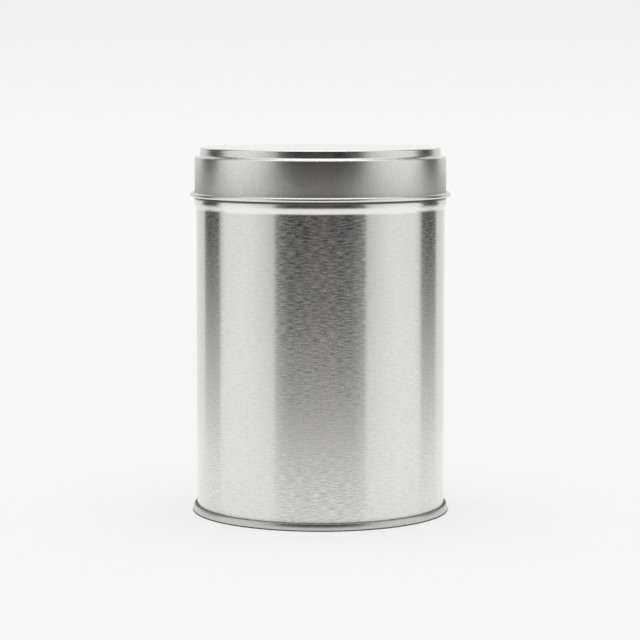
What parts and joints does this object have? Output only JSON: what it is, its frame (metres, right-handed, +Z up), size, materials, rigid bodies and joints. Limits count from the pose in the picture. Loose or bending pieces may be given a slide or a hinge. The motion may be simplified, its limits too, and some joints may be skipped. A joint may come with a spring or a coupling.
{
  "type": "round slip-lid tin",
  "caption": "Tall round tinplate candle tin with a lift-off lid, a stop bead under the lid's curled edge, and a double-seamed recessed base.",
  "frame": {"origin": "centre of the ring that the tin stands on, at the surface it stands on", "axes": "+Z up along the tin's axis, out of its mouth; the body's weld is at +Y"},
  "size_m": [0.0786, 0.0786, 0.11],
  "materials": {
    "body_tinplate": "bright tinplate, rolling grain running round the body",
    "base_tinplate": "bright tinplate, straight rolling grain across the stamped panel",
    "lid_tinplate": "bright tinplate, straight sheet grain pulled down over a drawn skirt",
    "seam_rubber": "dull grey sealing compound"
  },
  "bodies": {
    "tin": {"body_shell": "body_tinplate", "base_end": "base_tinplate", "seam_compound": "seam_rubber"},
    "lid": {"lid_shell": "lid_tinplate"}
  },
  "joints": [
    {"name": "lid_lift", "type": "slide", "parent": "tin", "child": "lid", "axis": [0, 0, 1], "range_m": [0, 0.12]}
  ]
}
